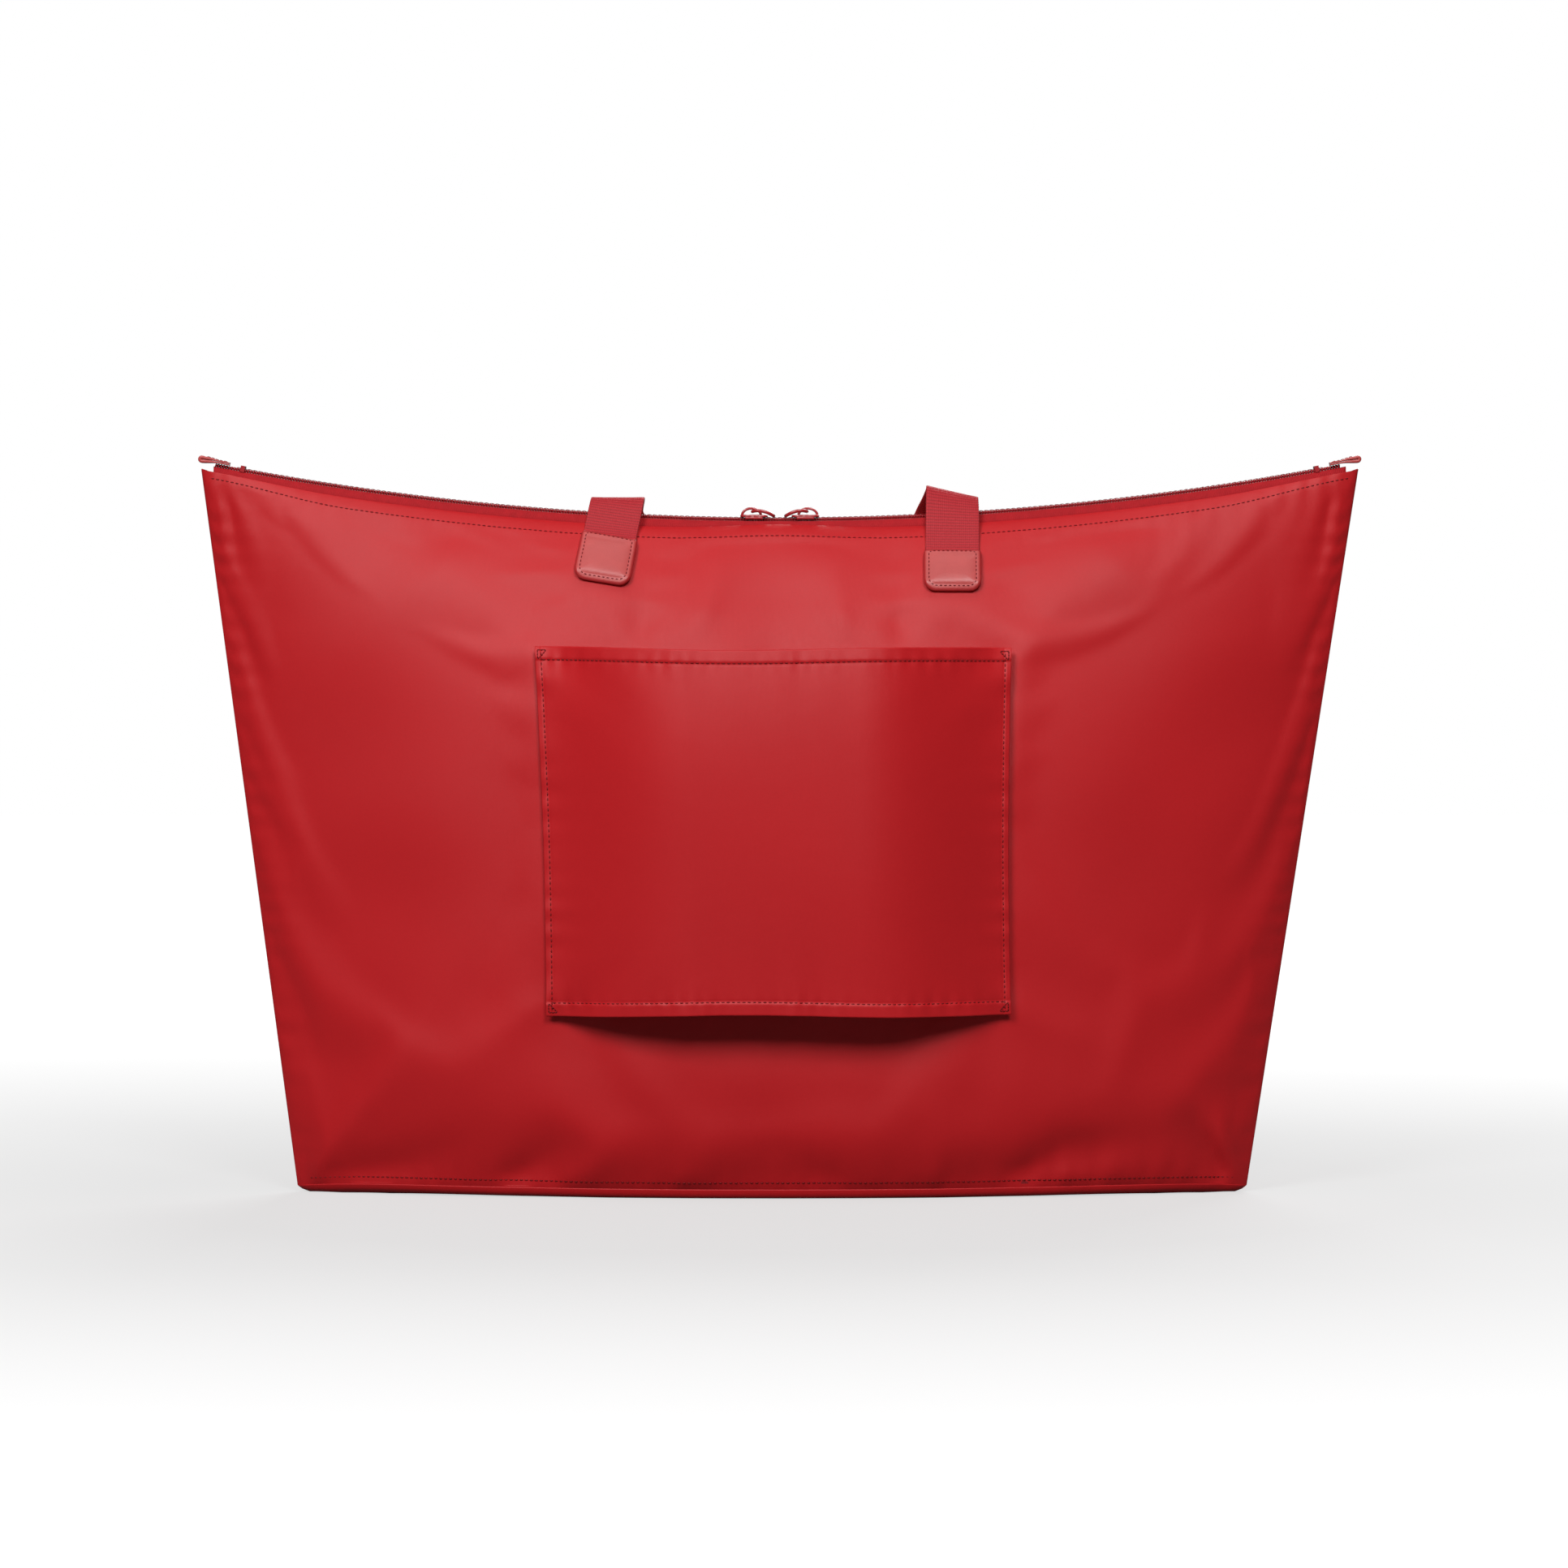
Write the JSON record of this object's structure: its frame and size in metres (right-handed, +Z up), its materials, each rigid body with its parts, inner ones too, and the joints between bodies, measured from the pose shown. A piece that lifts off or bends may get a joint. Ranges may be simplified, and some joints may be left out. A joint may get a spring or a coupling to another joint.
{
  "type": "foldable tote bag",
  "caption": "Filled-out foldable nylon tote bag with a two-way zip along its top, webbing handles on leather patches and a rear sleeve for a suitcase handle.",
  "frame": {"origin": "middle of the flat base, where the bag rests, in the plane of the two side seams", "axes": "+Z up; +X along the width, to the right as the back is looked at; the back with the luggage sleeve faces -Y and the front faces +Y"},
  "size_m": [0.5438, 0.1892, 0.3436],
  "materials": {
    "nylon": "satin woven nylon, red",
    "binding": "matt woven binding tape, dark red",
    "pocket_nylon": "uncoated side of the nylon, red",
    "zip_tape": "matt herringbone tape, dark red",
    "zip_coil": "satin nylon coil, dark red",
    "webbing": "ribbed nylon webbing, red",
    "leather": "smooth leather with a soft sheen, red",
    "coated_metal": "glossy red coating on cast metal"
  },
  "bodies": {
    "bag": {"base_panel": "nylon", "back_panel": "nylon", "front_panel": "nylon", "luggage_sleeve": "nylon", "inner_pocket": "pocket_nylon", "inner_pocket_hem": "pocket_nylon", "base_binding_back": "binding", "base_binding_front": "binding", "side_binding_left": "binding", "side_binding_right": "binding", "zip_tape_back": "zip_tape", "zip_tape_front": "zip_tape", "zip_coil_back": "zip_coil", "zip_coil_front": "zip_coil", "zip_stop_left": "coated_metal", "zip_stop_right": "coated_metal", "zip_end_tab_left": "leather", "zip_end_tab_right": "leather", "back_strap_end_left": "webbing", "back_strap_end_right": "webbing", "front_strap_end_left": "webbing", "front_strap_end_right": "webbing", "back_patch_left": "leather", "back_patch_right": "leather", "front_patch_left": "leather", "front_patch_right": "leather"},
    "slider_left": {"zip_slider_left": "coated_metal"},
    "slider_right": {"zip_slider_right": "coated_metal"},
    "ring_left": {"pull_ring_left": "coated_metal"},
    "ring_right": {"pull_ring_right": "coated_metal"},
    "handle_back": {"back_handle": "webbing"},
    "handle_front": {"front_handle": "webbing"}
  },
  "joints": [
    {"name": "slider_left_travel", "type": "hinge", "parent": "bag", "child": "slider_left", "pos_m": [0, 0, 1.6985], "axis": [0, 1, 0], "range_deg": [0, 9.6]},
    {"name": "slider_right_travel", "type": "hinge", "parent": "bag", "child": "slider_right", "pos_m": [0, 0, 1.6985], "axis": [0, -1, 0], "range_deg": [0, 9.6]},
    {"name": "ring_left_swing", "type": "hinge", "parent": "slider_left", "child": "ring_left", "pos_m": [-0.01277, 0, 0.31841], "axis": [0, -1, 0], "range_deg": [0, 172]},
    {"name": "ring_right_swing", "type": "hinge", "parent": "slider_right", "child": "ring_right", "pos_m": [0.01277, 0, 0.31841], "axis": [0, 1, 0], "range_deg": [0, 172]},
    {"name": "back_handle_swing", "type": "hinge", "parent": "bag", "child": "handle_back", "pos_m": [0, 0, 0.32532], "axis": [1, 0, 0], "range_deg": [0, 178]},
    {"name": "front_handle_swing", "type": "hinge", "parent": "bag", "child": "handle_front", "pos_m": [0, 0.0193, 0.30765], "axis": [1, 0, 0], "range_deg": [0, 178]}
  ],
  "couplings": [
    {"joint": "front_handle_swing", "follows": "back_handle_swing", "ratio": 1}
  ]
}
